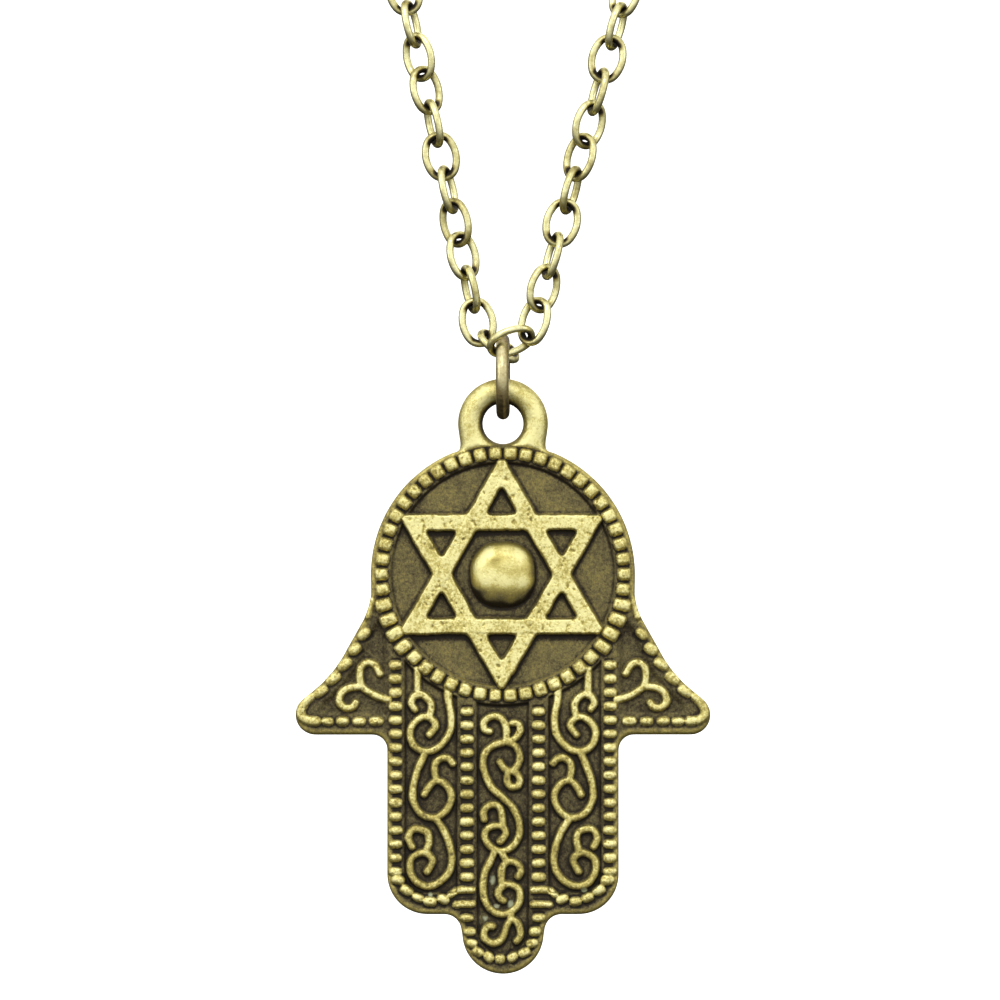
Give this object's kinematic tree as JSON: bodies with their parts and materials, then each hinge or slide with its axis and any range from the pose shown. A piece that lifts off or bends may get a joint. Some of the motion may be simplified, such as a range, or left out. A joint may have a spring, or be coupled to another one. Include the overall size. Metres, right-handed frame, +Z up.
{
  "type": "hamsa hand pendant necklace",
  "caption": "Necklace with a flat cast hand pendant in antique bronze colour, with a star medallion, beaded borders and scrollwork, hung by its eye from a jump ring on a cable chain.",
  "frame": {"origin": "inside top of the chain loop, where the back of the neck carries it, at mount neck_rest", "axes": "+Z up along the hanging necklace, -Y the front of the pendant, +X to the right in the front view"},
  "size_m": [0.0808, 0.0062, 0.2423],
  "materials": {
    "pendant_metal": "cast metal with an antique bronze plating: worn bright on the relief, dark olive brown in the recesses",
    "chain_metal": "antique bronze plated wire, half gloss",
    "ring_metal": "antique bronze plated wire, half gloss"
  },
  "bodies": {
    "necklace": {"chain_left": "chain_metal", "chain_right": "chain_metal", "clasp": "ring_metal"},
    "ring": {"jump_ring": "ring_metal"},
    "drop": {"pendant": "pendant_metal"}
  },
  "joints": [
    {"name": "ring_swing", "type": "hinge", "parent": "necklace", "child": "ring", "pos_m": [-0.0052, 0, -0.1941], "axis": [1, 0, 0], "range_deg": [-75, 75]},
    {"name": "pendant_swing", "type": "hinge", "parent": "ring", "child": "drop", "pos_m": [-0.0052, 0, -0.19675], "axis": [0, 1, 0], "range_deg": [-75, 75]}
  ]
}
